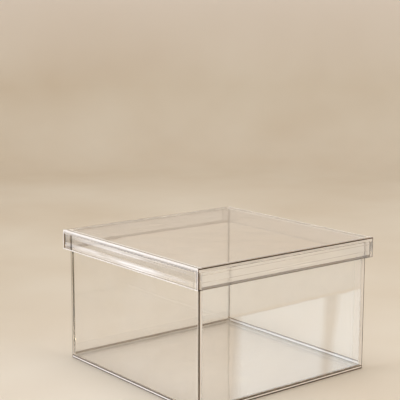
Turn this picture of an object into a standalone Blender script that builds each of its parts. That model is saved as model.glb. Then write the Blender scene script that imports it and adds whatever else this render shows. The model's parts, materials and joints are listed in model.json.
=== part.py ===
"""A clear acrylic storage box with a lift-off lid, in metres, +Z up.

The origin is the centre of the box's underside. The box is five sheets of
cast acrylic cemented into a tray: the four walls stand on the floor panel.
The lid is a sheet with a rim of four strips cemented under its border, and it
rests on the tops of the walls with its rim hanging outside them.
"""

import bpy
from mathutils import Vector

# The box: outside width and depth of its walls, and the height of their tops.
BOX_WIDTH = 0.300
BOX_DEPTH = 0.300
BOX_HEIGHT = 0.187

# The sheets that the box and the lid are cut from.
BOX_SHEET = 0.005
LID_SHEET = 0.005

# The lid: how far its rim strips hang below its sheet, and the play between
# the rim and the walls.
RIM_DROP = 0.0233
RIM_PLAY = 0.0025

# The line of cement between two cemented sheets, and the hairline under the
# lid where it rests on the walls.
CEMENT_LINE = 0.0003
SEAT_GAP = 0.0003

# Every sheet has its cut edges polished and their arrises eased.
EASED_EDGE = 0.0004
EASED_EDGE_STEPS = 2

# Clear cast acrylic, with a faint warm grey tint.
ACRYLIC_COLOUR = (0.93, 0.92, 0.89, 1.0)
ACRYLIC_ROUGHNESS = 0.03
ACRYLIC_IOR = 1.49
ACRYLIC_CLEARNESS = 0.85


def clear_scene():
    """Remove what the file holds, so that the model stands alone."""
    for found in list(bpy.data.objects):
        bpy.data.objects.remove(found, do_unlink=True)


def new_collection(name):
    """A collection of the scene for the pieces of one object."""
    collection = bpy.data.collections.new(name)
    bpy.context.scene.collection.children.link(collection)
    return collection


def acrylic(name):
    """The clear acrylic of one piece."""
    material = bpy.data.materials.new(name)
    material.use_nodes = True
    shader = material.node_tree.nodes["Principled BSDF"]
    shader.inputs["Base Color"].default_value = ACRYLIC_COLOUR
    shader.inputs["Roughness"].default_value = ACRYLIC_ROUGHNESS
    shader.inputs["Metallic"].default_value = 0.0
    shader.inputs["IOR"].default_value = ACRYLIC_IOR
    shader.inputs["Transmission Weight"].default_value = ACRYLIC_CLEARNESS
    return material


def guide(name, place, collection):
    """An empty that carries the pieces of one body."""
    empty = bpy.data.objects.new(name, None)
    empty.location = place
    collection.objects.link(empty)
    return empty


def sheet(name, low, high, carrier, collection):
    """A flat sheet between two corners, with its edges eased."""
    low = Vector(low)
    high = Vector(high)
    bpy.ops.mesh.primitive_cube_add(size=1, location=(low + high) / 2)
    piece = bpy.context.active_object
    piece.name = name
    piece.data.name = name
    piece.scale = high - low
    bpy.ops.object.transform_apply(location=False, rotation=False, scale=True)

    easing = piece.modifiers.new("eased edges", "BEVEL")
    easing.width = EASED_EDGE
    easing.segments = EASED_EDGE_STEPS
    easing.limit_method = "ANGLE"

    piece.data.materials.append(acrylic(name))
    for holder in list(piece.users_collection):
        holder.objects.unlink(piece)
    collection.objects.link(piece)
    piece.location -= carrier.location
    piece.parent = carrier
    return piece


def tray_walls(names, half_width, half_depth, thickness, bottom, top, carrier, collection):
    """Four upright sheets round a rectangle, given by its outside.

    The front and the back run the full width, and the two sides are cemented
    between them, so that the ends of the front and back show at the sides.
    """
    front, back, left, right = names
    inner_width = half_width - thickness
    side_end = half_depth - thickness - CEMENT_LINE
    sheet(front, (-half_width, -half_depth, bottom), (half_width, thickness - half_depth, top),
          carrier, collection)
    sheet(back, (-half_width, half_depth - thickness, bottom), (half_width, half_depth, top),
          carrier, collection)
    sheet(left, (-half_width, -side_end, bottom), (-inner_width, side_end, top),
          carrier, collection)
    sheet(right, (inner_width, -side_end, bottom), (half_width, side_end, top),
          carrier, collection)


def make_box(collection):
    """The open box: a floor panel with four walls standing on it."""
    box = guide("box", (0, 0, 0), collection)
    half_width = BOX_WIDTH / 2
    half_depth = BOX_DEPTH / 2
    sheet("floor_panel", (-half_width, -half_depth, 0), (half_width, half_depth, BOX_SHEET),
          box, collection)
    tray_walls(("front_wall", "back_wall", "left_wall", "right_wall"),
               half_width, half_depth, BOX_SHEET, BOX_SHEET + CEMENT_LINE, BOX_HEIGHT,
               box, collection)


def make_lid(collection):
    """The lid, whose origin is on its lifting axis, at its seat on the walls."""
    seat = BOX_HEIGHT + SEAT_GAP
    lid = guide("lid", (0, 0, seat), collection)
    overhang = RIM_PLAY + LID_SHEET
    half_width = BOX_WIDTH / 2 + overhang
    half_depth = BOX_DEPTH / 2 + overhang
    sheet("lid_top", (-half_width, -half_depth, seat), (half_width, half_depth, seat + LID_SHEET),
          lid, collection)
    tray_walls(("lid_front_rim", "lid_back_rim", "lid_left_rim", "lid_right_rim"),
               half_width, half_depth, LID_SHEET, seat - RIM_DROP, seat - CEMENT_LINE,
               lid, collection)


clear_scene()
storage_box = new_collection("clear_storage_box")
make_box(storage_box)
make_lid(storage_box)
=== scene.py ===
"""The looks of a clear acrylic storage box with a lift-off lid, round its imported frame."""

import json
import math

import bpy
from mathutils import Matrix, Vector


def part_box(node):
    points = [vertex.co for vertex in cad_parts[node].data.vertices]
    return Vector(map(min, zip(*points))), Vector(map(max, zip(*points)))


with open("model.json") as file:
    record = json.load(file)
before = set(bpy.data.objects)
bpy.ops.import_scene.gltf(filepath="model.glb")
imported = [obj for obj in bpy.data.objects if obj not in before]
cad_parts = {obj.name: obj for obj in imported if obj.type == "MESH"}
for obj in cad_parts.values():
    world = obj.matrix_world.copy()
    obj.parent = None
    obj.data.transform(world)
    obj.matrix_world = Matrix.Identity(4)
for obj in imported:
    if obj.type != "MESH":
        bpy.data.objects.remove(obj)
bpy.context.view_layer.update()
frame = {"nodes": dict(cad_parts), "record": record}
nodes = frame["nodes"]
body_nodes = frame["record"]["behaviour"]["bodies"]
scene = bpy.context.scene

# The floor panel: a 300 mm square of 5 mm clear cast acrylic that the four walls stand on.
# It is sawn to size, its cut edges are polished and their arrises eased, and the walls are
# fixed on top of it with a thin solvent cement that leaves no air between.
ACRYLIC_IOR = 1.49
POLISHED_ROUGHNESS = 0.0
# The warm grey that the sheet's thickness takes on, and how much of it a metre gives.
SHEET_TINT = "#B9B3A4"
PANEL_TINT = 1.0
# An eased arris bends the light away and reads as a dark line, 1.4 mm wide on the outside of
# the box. That line, and the darker part of a cut edge, is painted shade in the sheet's colour.
# A polished edge reads white, as a painted highlight.
UNTINTED = "#FFFFFF"
ARRIS_DARK = "#543E25"
EDGE_DARK = "#6E563F"
EDGE_WHITE = "#F7F3EC"
ARRIS_WIDTH = 0.0014
# A cement joint is 0.3 mm wide, and is reached over with a hair to spare. Lines end softly
# over 0.3 mm.
CEMENT_REACH = 0.00032
LINE_FADE = 0.0003
# Where the normal has less than this of the sheet's own direction, it is a cut edge.
CUT_EDGE_NORMAL = 0.9
# A cast sheet is flat to a few tenths of a millimetre, in waves 111 mm long each way.
MM_IN_A_METRE = 1000
SHEET_WAVES_MM = (111, 111, 111)
WAVE_HEIGHT = 0.0004
WAVE_DETAIL = 2.0
# Dust and wiped smears, in patches 45.5 mm across, cover at most 3% of a face.
SMEAR_MM = 45.5
SMEAR_DETAIL = 6.0
SMEAR_LOW, SMEAR_HIGH = 0.45, 0.7
SMEAR_VEIL = 0.03
# How much light a cut edge lets by, and how much of its white is seen through the sheet.
EDGE_LETS = 0.35
EDGE_FROM_INSIDE = 0.2
# A clear face mirrors more at a glancing angle, with the fifth power of how far it is turned.
# With its blend at a half, a layer weight gives that turn as it is.
EVEN_BLEND = 0.5
GLANCING_POWER = 5.0
# A rim's streaks, which are painted highlights, are strongest within 30 mm of its middle, and
# weakest, three tenths of that, 150 mm from it. The streaks break up between these heights of
# the sheet's waves, never wholly.
STREAKS_FADE_FROM, STREAKS_FADE_TO, STREAKS_AT_ENDS = 0.03, 0.15, 0.3
STREAK_LOW, STREAK_HIGH, STREAK_LEAST = 0.42, 0.62, 0.35


def linear(hex_colour):
    """A shader colour from an sRGB hex value."""
    colour = []
    for start in (1, 3, 5):
        value = int(hex_colour[start:start + 2], 16) / 255
        colour.append(value / 12.92 if value <= 0.04045 else ((value + 0.055) / 1.055) ** 2.4)
    return (*colour, 1.0)


def add_node(tree, kind, settings=None, **sockets):
    """A node with its settings, and its values or links by socket name, or by i and a number."""
    node = tree.nodes.new(kind)
    for name, value in (settings or {}).items():
        setattr(node, name, value)
    for name, value in sockets.items():
        numbered = name[0] == "i" and name[1:].isdigit()
        socket = node.inputs[int(name[1:]) if numbered else name.replace("_", " ")]
        if isinstance(value, bpy.types.Node):
            value = value.outputs[0]
        if isinstance(value, bpy.types.NodeSocket):
            tree.links.new(value, socket)
        else:
            socket.default_value = value
    return node


def worked_out(tree, value, *steps):
    """A value taken through steps of arithmetic in turn, each an operation and its other value."""
    for operation, other in steps:
        value = add_node(tree, "ShaderNodeMath", {"operation": operation}, i0=value, i1=other)
    return value


def outside_box(tree, place, low, high):
    """How far a point lies outside a box along each axis, as three sockets."""
    centre = [(a + b) / 2 for a, b in zip(low, high)]
    half = [(b - a) / 2 for a, b in zip(low, high)]
    away = add_node(tree, "ShaderNodeVectorMath", {"operation": "SUBTRACT"}, i0=place, i1=centre)
    away = add_node(tree, "ShaderNodeVectorMath", {"operation": "ABSOLUTE"}, i0=away)
    away = add_node(tree, "ShaderNodeVectorMath", {"operation": "SUBTRACT"}, i0=away, i1=half)
    return add_node(tree, "ShaderNodeSeparateXYZ", i0=away).outputs


def near_arris(tree, place, low, high, width):
    """1 within a width of a box's arrises, 0 elsewhere."""
    x, y, z = outside_box(tree, place, low, high)
    nearer = worked_out(tree, x, ("MINIMUM", y))
    middle = worked_out(tree, x, ("MAXIMUM", y), ("MINIMUM", z), ("MAXIMUM", nearer))
    return add_node(tree, "ShaderNodeMapRange", Value=middle, From_Min=-width,
                    From_Max=LINE_FADE - width)


def under_cement(tree, place, neighbours):
    """1 where a neighbouring sheet is cemented on, 0 elsewhere."""
    joined = 0.0
    for neighbour in neighbours:
        low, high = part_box(neighbour)
        low = [value - CEMENT_REACH for value in low]
        high = [value + CEMENT_REACH for value in high]
        x, y, z = outside_box(tree, place, low, high)
        joined = worked_out(tree, x, ("MAXIMUM", y), ("MAXIMUM", z), ("LESS_THAN", 0.0),
                            ("MAXIMUM", joined))
    return joined


def lines_on(tree, place, lines, thin_axis, face, cut_edge, facing):
    """Lines on a sheet: each an axis, where it starts and stops on it in metres, its strength,
    and, where it is on the sides that face one way only, x or y. Those that lie across the
    sheet's thickness are on its cut edges."""
    axes = add_node(tree, "ShaderNodeSeparateXYZ", i0=place).outputs
    drawn = 0.0
    for axis, start, stop, strength, *sides in lines:
        number = "xyz".index(axis)
        half = (stop - start) / 2
        away = worked_out(tree, axes[number], ("SUBTRACT", (start + stop) / 2),
                          ("ABSOLUTE", 0.0))
        line = add_node(tree, "ShaderNodeMapRange", Value=away, From_Min=half - LINE_FADE / 2,
                        From_Max=half + LINE_FADE / 2, To_Min=strength, To_Max=0.0)
        line = worked_out(tree, line, ("MULTIPLY", cut_edge if number == thin_axis else face))
        for side in sides:
            line = worked_out(tree, line, ("MULTIPLY", facing[side]))
        drawn = worked_out(tree, line, ("MAXIMUM", drawn))
    return drawn


def shell_of(body):
    """The corners of a body's own box."""
    boxes = [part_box(node) for node in body_nodes[body]]
    low = [min(box[0][axis] for box in boxes) for axis in range(3)]
    high = [max(box[1][axis] for box in boxes) for axis in range(3)]
    return low, high


def cast_acrylic(node, body, neighbours, waves_mm=SHEET_WAVES_MM, tint=PANEL_TINT,
                 edge_white=0.0, veil=0.0, streaks=(), shell_arris=ARRIS_WIDTH, own_arris=0.0,
                 own_dark=1.0, painted_front_highlight=0.0, edge_from_inside=EDGE_FROM_INSIDE,
                 face_from_inside=1.0, inner_lines=False, dark_lines=(), white_lines=()):
    """Clear cast acrylic: glass-like and faintly warm, known by its polished edges, whose bright
    and dark lines are painted highlight and shade, and by the smears on its faces.

    edge_white and veil are how white its cut edges and its faces are painted, as highlight and
    haze. shell_arris and own_arris are how wide the lines are along the arrises of its body and
    of the sheet itself, own_dark is how dark the sheet's own are, and the front highlight
    setting is how far both are painted bright, as highlights, not dark, on the front and the
    back. The two from_inside values are how much white is seen through the sheet. The lines on
    its faces are on the one further from the origin, or with inner_lines on the nearer one."""
    material = bpy.data.materials.new(node + "_cast_acrylic")
    material.use_nodes = True
    tree = material.node_tree
    tree.nodes.clear()
    low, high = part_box(node)
    thin_axis = min(range(3), key=lambda axis: high[axis] - low[axis])
    middle = abs(low[thin_axis] + high[thin_axis]) / 2
    coords = add_node(tree, "ShaderNodeTexCoord")
    place = coords.outputs["Object"]
    axes = add_node(tree, "ShaderNodeSeparateXYZ", i0=place).outputs
    wide = worked_out(tree, axes[0], ("ABSOLUTE", 0.0))
    deep = worked_out(tree, axes[1], ("ABSOLUTE", 0.0))
    facing = {"x": worked_out(tree, wide, ("GREATER_THAN", deep)),
              "y": worked_out(tree, deep, ("GREATER_THAN", wide))}

    # A cut edge is told from a face by its normal, and its inside by its back.
    normal = add_node(tree, "ShaderNodeSeparateXYZ", i0=coords.outputs["Normal"])
    flat = worked_out(tree, normal.outputs[thin_axis], ("ABSOLUTE", 0.0),
                      ("GREATER_THAN", CUT_EDGE_NORMAL))
    cut_edge = worked_out(tree, 1.0, ("SUBTRACT", flat))
    face = worked_out(tree, axes[thin_axis], ("ABSOLUTE", 0.0),
                      ("LESS_THAN" if inner_lines else "GREATER_THAN", middle),
                      ("MULTIPLY", flat))
    behind = add_node(tree, "ShaderNodeNewGeometry").outputs["Backfacing"]
    from_inside = worked_out(tree, cut_edge, ("MULTIPLY", behind))
    from_outside = worked_out(tree, 1.0, ("SUBTRACT", from_inside))

    # The eased arrises are painted as dark lines, painted shade for the light they bend away, and
    # as bright painted highlights on the sides that face the front and the back.
    shell_line = near_arris(tree, place, *shell_of(body), shell_arris)
    own_line = near_arris(tree, place, low, high, own_arris) if own_arris else 0.0
    arris = worked_out(tree, shell_line, ("MAXIMUM", own_line))
    painted_highlight_sides = worked_out(tree, facing["y"], ("MULTIPLY", painted_front_highlight))
    unhighlighted_sides = worked_out(tree, 1.0, ("SUBTRACT", painted_highlight_sides))
    drawn_dark = lines_on(tree, place, dark_lines, thin_axis, face, cut_edge, facing)
    dark = worked_out(tree, own_line, ("MULTIPLY", own_dark), ("MAXIMUM", shell_line),
                      ("MULTIPLY", unhighlighted_sides), ("MAXIMUM", drawn_dark), ("MULTIPLY", from_outside))
    clear = add_node(tree, "ShaderNodeMix", {"data_type": "RGBA"}, i0=dark,
                     i6=linear(UNTINTED), i7=linear(ARRIS_DARK)).outputs[2]
    edge_clear = add_node(tree, "ShaderNodeMix", {"data_type": "RGBA"}, i0=dark,
                          i6=linear(UNTINTED), i7=linear(EDGE_DARK)).outputs[2]

    # A cast sheet isn't quite flat, which bends what it mirrors.
    stretched = add_node(tree, "ShaderNodeMapping", Vector=place,
                         Scale=[MM_IN_A_METRE / length for length in waves_mm])
    wave = add_node(tree, "ShaderNodeTexNoise", Vector=stretched, Scale=1.0,
                    Detail=WAVE_DETAIL)
    bump = add_node(tree, "ShaderNodeBump", Height=wave, Strength=1.0, Distance=WAVE_HEIGHT)
    glass = add_node(tree, "ShaderNodeBsdfPrincipled", Base_Color=clear,
                     Roughness=POLISHED_ROUGHNESS, IOR=ACRYLIC_IOR, Transmission_Weight=1.0,
                     Normal=bump)
    edge_glass = add_node(tree, "ShaderNodeBsdfTransparent", Color=edge_clear)
    shader = add_node(tree, "ShaderNodeMixShader", i0=cut_edge, i1=glass, i2=edge_glass)

    # The white of the cut edges, the streaks, the veil, the bright arrises and the drawn white
    # lines is painted highlight and haze, a matt white that the lamps light. The smears on the
    # faces are dust and wipe marks.
    smear = add_node(tree, "ShaderNodeTexNoise", Vector=place,
                     Scale=MM_IN_A_METRE / SMEAR_MM, Detail=SMEAR_DETAIL)
    smear = add_node(tree, "ShaderNodeMapRange", Value=smear, From_Min=SMEAR_LOW,
                     From_Max=SMEAR_HIGH, To_Max=SMEAR_VEIL)
    veiled = worked_out(tree, face, ("MULTIPLY", veil), ("ADD", smear))
    broken = add_node(tree, "ShaderNodeMapRange", Value=wave, From_Min=STREAK_LOW,
                      From_Max=STREAK_HIGH, To_Min=STREAK_LEAST)
    along_rim = worked_out(tree, wide, ("MINIMUM", deep))
    streak_fade = add_node(tree, "ShaderNodeMapRange", Value=along_rim, From_Min=STREAKS_FADE_FROM,
                      From_Max=STREAKS_FADE_TO, To_Min=1.0, To_Max=STREAKS_AT_ENDS)
    streaked = lines_on(tree, place, streaks, thin_axis, face, cut_edge, facing)
    streaked = worked_out(tree, streaked, ("MULTIPLY", streak_fade), ("MULTIPLY", broken))
    drawn_white = lines_on(tree, place, white_lines, thin_axis, face, cut_edge, facing)
    undarkened = worked_out(tree, 1.0, ("SUBTRACT", dark))
    bright_arris = worked_out(tree, arris, ("MULTIPLY", painted_highlight_sides))
    seen_inside = add_node(tree, "ShaderNodeMix", i0=cut_edge, i2=face_from_inside,
                           i3=edge_from_inside)
    kept = add_node(tree, "ShaderNodeMix", i0=behind, i2=1.0, i3=seen_inside)
    scatter = worked_out(tree, cut_edge, ("MULTIPLY", edge_white), ("MAXIMUM", drawn_white),
                         ("MAXIMUM", veiled), ("MAXIMUM", streaked), ("MULTIPLY", undarkened),
                         ("MAXIMUM", bright_arris), ("MULTIPLY", kept))
    white = add_node(tree, "ShaderNodeBsdfDiffuse", Color=linear(EDGE_WHITE))
    shader = add_node(tree, "ShaderNodeMixShader", i0=scatter, i1=shader, i2=white)

    # No air under the cement, so light passes straight on.
    joined = under_cement(tree, place, neighbours)
    through = add_node(tree, "ShaderNodeBsdfTransparent")
    shader = add_node(tree, "ShaderNodeMixShader", i0=joined, i1=shader, i2=through)

    # Light from lamps and from the room passes straight through, less at a glancing angle.
    glancing = add_node(tree, "ShaderNodeLayerWeight", Blend=EVEN_BLEND).outputs["Facing"]
    mirrored = worked_out(tree, glancing, ("POWER", GLANCING_POWER))
    held_back = worked_out(tree, cut_edge, ("MAXIMUM", arris), ("MULTIPLY", 1.0 - EDGE_LETS))
    let_by = worked_out(tree, 1.0, ("SUBTRACT", held_back))
    passed = worked_out(tree, 1.0, ("SUBTRACT", mirrored), ("MULTIPLY", let_by),
                        ("MAXIMUM", joined))
    lamp_clear = add_node(tree, "ShaderNodeBsdfTransparent", Color=passed)
    light_path = add_node(tree, "ShaderNodeLightPath").outputs
    for kind in ("Is Diffuse Ray", "Is Shadow Ray"):
        shader = add_node(tree, "ShaderNodeMixShader", i0=light_path[kind], i1=shader,
                          i2=lamp_clear)
    tinted = add_node(tree, "ShaderNodeVolumeAbsorption", Color=linear(SHEET_TINT),
                      Density=tint)
    add_node(tree, "ShaderNodeOutputMaterial", Surface=shader, Volume=tinted)
    nodes[node].data.materials.clear()
    nodes[node].data.materials.append(material)


# Most of the dark and white lines drawn on the sheets below are painted shade and highlight, where
# the sheets bend and mirror the light; the cement lines are the joints' own colour.
WALLS = ("front_wall", "back_wall", "left_wall", "right_wall")
cast_acrylic(
    "floor_panel", "box", WALLS, edge_white=0.95, own_arris=0.0010, own_dark=0.95,
    dark_lines=(
        # the cement line under the front and the back wall
        ("z", 0.0032, 0.0052, 0.85, "y"),
        # the lower arris and the cement line at the sides
        ("z", 0.0000, 0.0019, 0.9, "x"), ("z", 0.0036, 0.0052, 1.0, "x"),
        # the shade of the left wall's foot, which fades over the floor
        ("x", -0.1450, -0.1370, 0.35), ("x", -0.1370, -0.1270, 0.2),
        ("x", -0.1270, -0.1150, 0.1)))

# The front and the back wall: 5 mm sheet the full width, which stands on the floor panel.
# Their ends show at the sides, polished, and the cement line at their foot shows as well.
# A wall is seen through from face to face, so it takes on more of the sheet's tint.
WALL_TINT = 8.0
cast_acrylic(
    "front_wall", "box", ("floor_panel", "left_wall", "right_wall"), tint=WALL_TINT,
    edge_white=0.7, shell_arris=0.0009,
    dark_lines=(
        # its left arris, and the outer part of its cut edges
        ("x", -0.1502, -0.1480, 0.8), ("y", -0.1500, -0.1480, 0.9)),
    white_lines=(
        # the inner part of its cut edges, and a faint one beside the right arris
        ("y", -0.1474, -0.1458, 0.95), ("x", 0.1462, 0.1488, 0.12)))
cast_acrylic(
    "back_wall", "box", ("floor_panel", "left_wall", "right_wall"), tint=WALL_TINT,
    edge_white=0.95, inner_lines=True,
    dark_lines=(
        # below and above the bright line at its foot, and the corner with the left wall
        ("z", 0.0050, 0.0066, 1.0), ("z", 0.0098, 0.0116, 1.0),
        ("x", -0.1460, -0.1410, 0.9)),
    white_lines=(
        # the bright line itself
        ("z", 0.0066, 0.0098, 1.0),))

# The two side walls: the same 5 mm sheet, cemented between the ends of the front and the
# back wall. The line at the foot shows on the inside of the left one and the outside of the
# right one.
cast_acrylic(
    "left_wall", "box", ("floor_panel", "front_wall", "back_wall"), tint=WALL_TINT,
    inner_lines=True,
    dark_lines=(
        # painted shade at its foot
        ("z", 0.0050, 0.0092, 0.95),),
    white_lines=(
        # a faint veil above it
        ("z", 0.0094, 0.0220, 0.14),))
cast_acrylic(
    "right_wall", "box", ("floor_panel", "front_wall", "back_wall"), tint=WALL_TINT,
    edge_white=0.7,
    dark_lines=(
        # painted shade at its foot, and the near side of the pale strip by the back corner
        ("z", 0.0050, 0.0064, 1.0), ("z", 0.0064, 0.0080, 0.5),
        ("y", 0.1283, 0.1293, 0.2)),
    white_lines=(
        # the pale strip, and the bright line of the corner itself
        ("y", 0.1293, 0.1424, 0.22), ("y", 0.1424, 0.1450, 0.9)))

# The lid's top: a 315 mm square of the same sheet, which rests on the walls. The rim
# strips are cemented under its border.
RIMS = ("lid_front_rim", "lid_back_rim", "lid_left_rim", "lid_right_rim")
cast_acrylic(
    "lid_top", "lid", RIMS, edge_white=0.6, shell_arris=0.0017, painted_front_highlight=0.9,
    edge_from_inside=0.8, inner_lines=True,
    dark_lines=(
        # painted shade in the play behind the front strip, and a thin line along the front and
        # the back edge
        ("y", -0.1524, -0.1504, 0.8), ("z", 0.1881, 0.1892, 0.55, "y")),
    white_lines=(
        # a painted highlight over the top of the front wall
        ("y", -0.1503, -0.1466, 0.95),))

# The lid's rim: four strips that hang outside the walls, the front and the back the full
# width. They are cut narrow and polished by hand, so they are wavy, in ripples 100 mm long
# and 6.7 mm high, and white streaks of painted highlight run along them.
RIM_WAVES_MM = (100, 100, 20 / 3)
cast_acrylic(
    "lid_front_rim", "lid", ("lid_top", "lid_left_rim", "lid_right_rim"), RIM_WAVES_MM,
    edge_white=0.1, veil=0.05, painted_front_highlight=0.98, shell_arris=0.0015, face_from_inside=0.3,
    streaks=(
        # the lower and the upper band, and the fainter one between them
        ("z", 0.1665, 0.1755, 1.0), ("z", 0.1820, 0.1870, 0.9), ("z", 0.1755, 0.1820, 0.3)),
    dark_lines=(
        # above the bright lower arris, and painted shade over the dimmer upper half
        ("z", 0.1658, 0.1667, 0.6), ("z", 0.1745, 0.1860, 0.3),
        # the left arris, and a line 20 mm in from the left end
        ("x", -0.1560, -0.1522, 1.0), ("x", -0.1380, -0.1342, 0.9),
        # the right arris, and a faint line 9 mm in from the right end
        ("x", 0.1560, 0.1576, 0.9), ("x", 0.1480, 0.1494, 0.35),
        # the outer and the middle part of its cut edges
        ("y", -0.1575, -0.1553, 1.0), ("y", -0.1553, -0.1532, 0.4)),
    white_lines=(
        # before the right strip's end, and the inner part of its cut edges
        ("x", 0.1520, 0.1556, 0.35), ("y", -0.1534, -0.1524, 0.8)))
cast_acrylic(
    "lid_back_rim", "lid", ("lid_top", "lid_left_rim", "lid_right_rim"), RIM_WAVES_MM,
    edge_white=0.3, veil=0.15, painted_front_highlight=0.5, shell_arris=0.0007,
    dark_lines=(
        # a faint line along its foot
        ("z", 0.1650, 0.1664, 0.4),))
for side in ("lid_left_rim", "lid_right_rim"):
    cast_acrylic(
        side, "lid", ("lid_top", "lid_front_rim", "lid_back_rim"), RIM_WAVES_MM, veil=0.36,
        streaks=(
            # a thin one under the lid's top, and a broad one above its foot
            ("z", 0.1860, 0.1873, 0.9), ("z", 0.1680, 0.1760, 0.6)),
        dark_lines=(
            # its foot, and two faint ripples
            ("z", 0.1648, 0.1682, 0.88), ("z", 0.1734, 0.1742, 0.35),
            ("z", 0.1826, 0.1834, 0.35),
            # a line near the back, and the joint with the back strip
            ("y", 0.1400, 0.1418, 0.9), ("y", 0.1503, 0.1523, 0.9)),
        white_lines=(
            # its lower arris
            ("z", 0.1638, 0.1648, 0.7),))

# The stage: a round cove of matt plaster, 4.8 m across, floor and wall in one. It is turned
# from a drum: the top is left open, the foot is rounded off, and the inside is what shows.
COVE_SIDES = 96
COVE_RADIUS = 2.4
COVE_HEIGHT = 3.0
# The floor lies a hair under the box, so that their faces don't meet.
FLOOR_DROP = 0.0003
# A normal that points up by more than this is on the drum's top, and down, on its foot.
DRUM_END_NORMAL = 0.9
FOOT_RADIUS = 0.5
FOOT_STEPS = 12
ROUND_PROFILE = 0.5
bpy.ops.object.select_all(action="DESELECT")
bpy.ops.mesh.primitive_cylinder_add(vertices=COVE_SIDES, radius=COVE_RADIUS,
                                    depth=COVE_HEIGHT,
                                    location=(0, 0, COVE_HEIGHT / 2 - FLOOR_DROP))
cove = bpy.context.active_object
cove.name = "cove"
bpy.ops.object.transform_apply(location=True, rotation=False, scale=False)
bpy.ops.object.mode_set(mode="EDIT")
bpy.ops.mesh.select_mode(type="FACE")
bpy.ops.mesh.select_all(action="DESELECT")
bpy.ops.object.mode_set(mode="OBJECT")
for polygon in cove.data.polygons:
    polygon.select = polygon.normal.z > DRUM_END_NORMAL
bpy.ops.object.mode_set(mode="EDIT")
bpy.ops.mesh.delete(type="FACE")
bpy.ops.mesh.select_all(action="DESELECT")
bpy.ops.object.mode_set(mode="OBJECT")
for polygon in cove.data.polygons:
    polygon.select = polygon.normal.z < -DRUM_END_NORMAL
bpy.ops.object.mode_set(mode="EDIT")
bpy.ops.mesh.region_to_loop()
bpy.ops.mesh.bevel(offset=FOOT_RADIUS, segments=FOOT_STEPS, profile=ROUND_PROFILE,
                   affect="EDGES")
bpy.ops.mesh.select_all(action="SELECT")
bpy.ops.mesh.flip_normals()
bpy.ops.object.mode_set(mode="OBJECT")
bpy.ops.object.shade_smooth()

# Matt plaster, brushed on by hand: no shine, in faint clouds 455 mm across, and lighter from
# 250 to 600 mm up, which is painted light on the wall.
PLASTER_DARK = "#DCCFBB"
PLASTER = "#E6DDCD"
PLASTER_PAINTED_LIGHT = "#F5EEE7"
CLOUD_MM = 455
CLOUD_DETAIL = 3.0
CLOUD_LOW, CLOUD_HIGH = 0.3, 0.7
LIGHTER_FROM, LIGHTER_TO = 0.25, 0.6
MATT_ROUGHNESS = 0.8
MATT_SPECULAR = 0.25
plaster = bpy.data.materials.new("matt_plaster")
plaster.use_nodes = True
tree = plaster.node_tree
tree.nodes.clear()
cove_place = add_node(tree, "ShaderNodeTexCoord").outputs["Object"]
clouds = add_node(tree, "ShaderNodeTexNoise", Vector=cove_place,
                  Scale=MM_IN_A_METRE / CLOUD_MM, Detail=CLOUD_DETAIL)
clouds = add_node(tree, "ShaderNodeMapRange", Value=clouds, From_Min=CLOUD_LOW,
                  From_Max=CLOUD_HIGH)
cove_height = add_node(tree, "ShaderNodeSeparateXYZ", i0=cove_place).outputs[2]
rise = add_node(tree, "ShaderNodeMapRange", Value=cove_height, From_Min=LIGHTER_FROM,
                From_Max=LIGHTER_TO)
mottle = add_node(tree, "ShaderNodeMix", {"data_type": "RGBA"}, i0=clouds,
                  i6=linear(PLASTER_DARK), i7=linear(PLASTER)).outputs[2]
mottle = add_node(tree, "ShaderNodeMix", {"data_type": "RGBA"}, i0=rise, i6=mottle,
                  i7=linear(PLASTER_PAINTED_LIGHT)).outputs[2]
matt = add_node(tree, "ShaderNodeBsdfPrincipled", Base_Color=mottle,
                Roughness=MATT_ROUGHNESS, Specular_IOR_Level=MATT_SPECULAR)
add_node(tree, "ShaderNodeOutputMaterial", Surface=matt)
cove.data.materials.append(plaster)


# The light: a large soft lamp overhead, a small one low in front of the box, which brings
# out the lid's rim, and a weak one on the right.
def softbox(name, place, aim, width, height, watts, colour, spread, mirrored):
    """A rectangular lamp that faces a point, fans out by an angle, and is mirrored or not."""
    data = bpy.data.lights.new(name, "AREA")
    data.shape = "RECTANGLE"
    data.size, data.size_y = width, height
    data.energy = watts
    data.color = linear(colour)[:3]
    data.spread = math.radians(spread)
    lamp = bpy.data.objects.new(name, data)
    scene.collection.objects.link(lamp)
    lamp.location = place
    lamp.rotation_euler = (Vector(aim) - Vector(place)).to_track_quat("-Z", "Y").to_euler()
    if not mirrored:
        lamp.visible_camera = False
        lamp.visible_transmission = False
        lamp.visible_glossy = False


softbox("overhead", place=(-0.3, 0.2, 2.2), aim=(0, 0, 0), width=2.4, height=2.4,
        watts=25.4, colour="#FFFFFF", spread=180, mirrored=True)
softbox("rim_light", place=(-0.15, -0.98, 0.34), aim=(0, -0.15, 0.17), width=0.6, height=0.4,
        watts=0.92, colour="#D8E4FC", spread=60, mirrored=False)
softbox("right_fill", place=(1.5, 0.2, 1.0), aim=(0, 0, 0.1), width=1.0, height=1.0,
        watts=6.0, colour="#FBFAFF", spread=180, mirrored=False)

# A card that glows, lying beside the box out of the picture, seen only mirrored in its right
# side: a painted reflection, as a clear sheet shows only by what it mirrors. Its glow has a
# straight near edge, a darker band across it, and a dimmer part behind a thin gap.
CARD_LOW, CARD_HIGH = (0.16, -0.10), (0.78, 0.80)
CARD_LIFT = 0.002
CARD_GLOW = 3.8
CARD_COLOUR = "#E1F3FF"
# Each edge is a slope of y over x, and the two ends of its soft step along y.
NEAR_EDGE = (0.873, -0.228, -0.208)
BAND_EDGES = ((1.033, -0.096, -0.080), (1.09, -0.072, -0.088))
BAND_SHADE = 0.75
FAR_FROM, FAR_TO, FAR_LEVEL = 0.455, 0.462, 0.33
GAP = ("x", 0.460, 0.474, 1.0)
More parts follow.
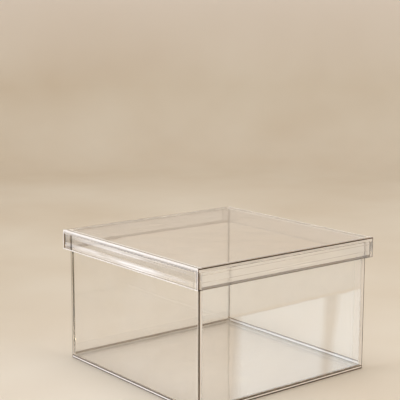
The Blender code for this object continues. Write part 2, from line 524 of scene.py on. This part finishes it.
# Where it hardly glows it is clear, and it isn't seen through a sheet's cut edge.
LEAST_SHOWN = 0.01
NO_EDGE_CROSSED = 0.5
card_middle = [(a + b) / 2 for a, b in zip(CARD_LOW, CARD_HIGH)]
bpy.ops.object.select_all(action="DESELECT")
bpy.ops.mesh.primitive_plane_add(size=1, location=(*card_middle, CARD_LIFT))
card = bpy.context.active_object
card.name = "reflection_card"
card.scale = (*[b - a for a, b in zip(CARD_LOW, CARD_HIGH)], 1)
bpy.ops.object.transform_apply(location=True, rotation=False, scale=True)
glow = bpy.data.materials.new("glowing_card")
glow.use_nodes = True
tree = glow.node_tree
tree.nodes.clear()
card_place = add_node(tree, "ShaderNodeTexCoord").outputs["Object"]
across, along, _ = add_node(tree, "ShaderNodeSeparateXYZ", i0=card_place).outputs
steps = []
for slope, start, stop in (NEAR_EDGE, *BAND_EDGES):
    sloped = worked_out(tree, across, ("MULTIPLY", -slope), ("ADD", along))
    steps.append(add_node(tree, "ShaderNodeMapRange", Value=sloped, From_Min=start,
                          From_Max=stop))
near, band_left, band_right = steps
unshaded = worked_out(tree, band_left, ("MULTIPLY", band_right), ("MULTIPLY", -BAND_SHADE),
                      ("ADD", 1.0))
near_level = worked_out(tree, near, ("MULTIPLY", unshaded))
far = add_node(tree, "ShaderNodeMapRange", Value=across, From_Min=FAR_FROM, From_Max=FAR_TO)
level = add_node(tree, "ShaderNodeMix", i0=far, i2=near_level, i3=FAR_LEVEL)
in_gap = lines_on(tree, card_place, (GAP,), thin_axis=2, face=1.0, cut_edge=0.0, facing={})
beside_gap = worked_out(tree, in_gap, ("MULTIPLY", -1.0), ("ADD", 1.0))
strength = worked_out(tree, level, ("MULTIPLY", beside_gap), ("MULTIPLY", CARD_GLOW))
lit = add_node(tree, "ShaderNodeEmission", Color=linear(CARD_COLOUR), Strength=strength)
hidden = add_node(tree, "ShaderNodeBsdfTransparent")
from_below = add_node(tree, "ShaderNodeNewGeometry").outputs["Backfacing"]
from_above = worked_out(tree, 1.0, ("SUBTRACT", from_below))
edges_crossed = add_node(tree, "ShaderNodeLightPath").outputs["Transparent Depth"]
glows = worked_out(tree, strength, ("GREATER_THAN", LEAST_SHOWN))
shown = worked_out(tree, edges_crossed, ("LESS_THAN", NO_EDGE_CROSSED),
                   ("MULTIPLY", from_above), ("MULTIPLY", glows))
card_shader = add_node(tree, "ShaderNodeMixShader", i0=shown, i1=hidden, i2=lit)
add_node(tree, "ShaderNodeOutputMaterial", Surface=card_shader)
card.data.materials.append(glow)
card.visible_camera = False
card.visible_diffuse = False
card.visible_transmission = False
card.visible_shadow = False

# The room: an even warm light from all round. Where the box mirrors it or is seen through,
# the room is darker, as its far corners are, so that the clear faces stay clear.
ROOM_COLOUR = "#F2EEE8"
ROOM_LIGHT = 0.5
ROOM_MIRRORED = 0.12
world = bpy.data.worlds.new("room_light")
scene.world = world
world.use_nodes = True
tree = world.node_tree
tree.nodes.clear()
light_path = add_node(tree, "ShaderNodeLightPath").outputs
sharp = worked_out(tree, light_path["Is Glossy Ray"],
                   ("MAXIMUM", light_path["Is Transmission Ray"]))
strength = add_node(tree, "ShaderNodeMapRange", Value=sharp, To_Min=ROOM_LIGHT,
                    To_Max=ROOM_MIRRORED)
room = add_node(tree, "ShaderNodeBackground", Color=linear(ROOM_COLOUR), Strength=strength)
add_node(tree, "ShaderNodeOutputWorld", Surface=room)

# The camera, fitted to this box's own corners in the photograph: its place in metres, and
# its turn, pitch and roll. The focal length is in pixels of the 400-pixel picture.
PHOTO_PIXELS = 400
FOCAL_PIXELS = 1085.5
SENSOR_MM = 36.0
CAMERA_PLACE = (1.17487, -0.96688, 0.5018)
CAMERA_TURN = math.radians(51.398)
CAMERA_PITCH = math.radians(-9.741)
CAMERA_ROLL = math.radians(0.145)
FARTHEST_SEEN = 20.0
camera_data = bpy.data.cameras.new("camera")
camera_data.sensor_width = SENSOR_MM
camera_data.lens = FOCAL_PIXELS / PHOTO_PIXELS * SENSOR_MM
camera_data.clip_end = FARTHEST_SEEN
camera = bpy.data.objects.new("camera", camera_data)
scene.collection.objects.link(camera)
camera.matrix_world = (
    Matrix.Translation(CAMERA_PLACE)
    @ Matrix.Rotation(CAMERA_TURN, 4, "Z")
    @ Matrix.Rotation(math.pi / 2 + CAMERA_PITCH, 4, "X")
    @ Matrix.Rotation(CAMERA_ROLL, 4, "Z")
)
scene.camera = camera

# How the light is followed: it takes many steps through ten clear sheets, and they pass the
# lamps' light on by themselves, so no caustics are traced.
MOST_BOUNCES = 64
MOST_CLEAR_LAYERS = 32
scene.view_settings.view_transform = "Standard"
scene.cycles.caustics_refractive = False
scene.cycles.caustics_reflective = False
scene.cycles.max_bounces = MOST_BOUNCES
scene.cycles.glossy_bounces = MOST_BOUNCES
scene.cycles.transmission_bounces = MOST_BOUNCES
scene.cycles.transparent_max_bounces = MOST_CLEAR_LAYERS
